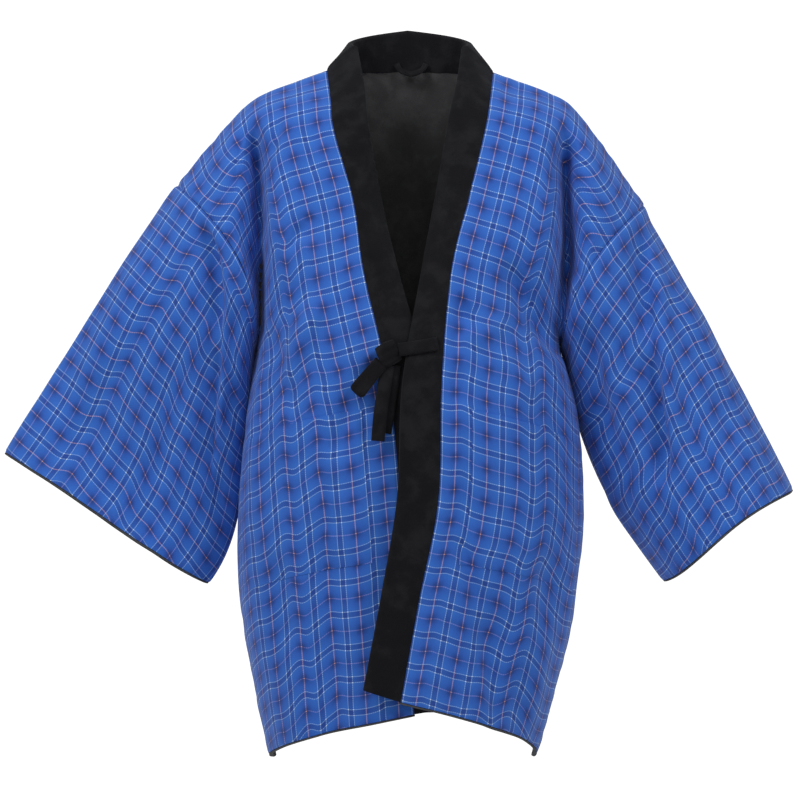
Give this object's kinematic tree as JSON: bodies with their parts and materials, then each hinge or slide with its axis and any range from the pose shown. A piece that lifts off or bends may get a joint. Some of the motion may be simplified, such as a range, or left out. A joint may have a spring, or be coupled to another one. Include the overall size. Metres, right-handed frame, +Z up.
{
  "type": "hanten",
  "caption": "Padded Japanese house jacket in blue plaid with a black fleece lining, collar band and tied closure, filled out as worn.",
  "frame": {"origin": "the back of the neck seam at the nape, where the wearer's neck holds the garment", "axes": "+X to the wearer's left, -Y out of the front, +Z up"},
  "size_m": [0.936, 0.2794, 0.8832],
  "materials": {
    "plaid_cotton": "soft woven plaid",
    "black_fleece": "short nap",
    "black_tape": "ribbed"
  },
  "bodies": {
    "root": {"front_left": "plaid_cotton", "front_right": "plaid_cotton", "back": "plaid_cotton", "sleeve_left": "plaid_cotton", "sleeve_right": "plaid_cotton", "pocket_left": "plaid_cotton", "pocket_right": "plaid_cotton", "lining_front_left": "black_fleece", "lining_front_right": "black_fleece", "lining_back": "black_fleece", "lining_sleeve_left": "black_fleece", "lining_sleeve_right": "black_fleece", "collar": "black_fleece", "tie_strap": "black_fleece", "tie_knot": "black_fleece", "tie_loop": "black_fleece", "tie_tail_1": "black_fleece", "tie_tail_2": "black_fleece", "hanger_loop": "black_tape"}
  },
  "joints": []
}
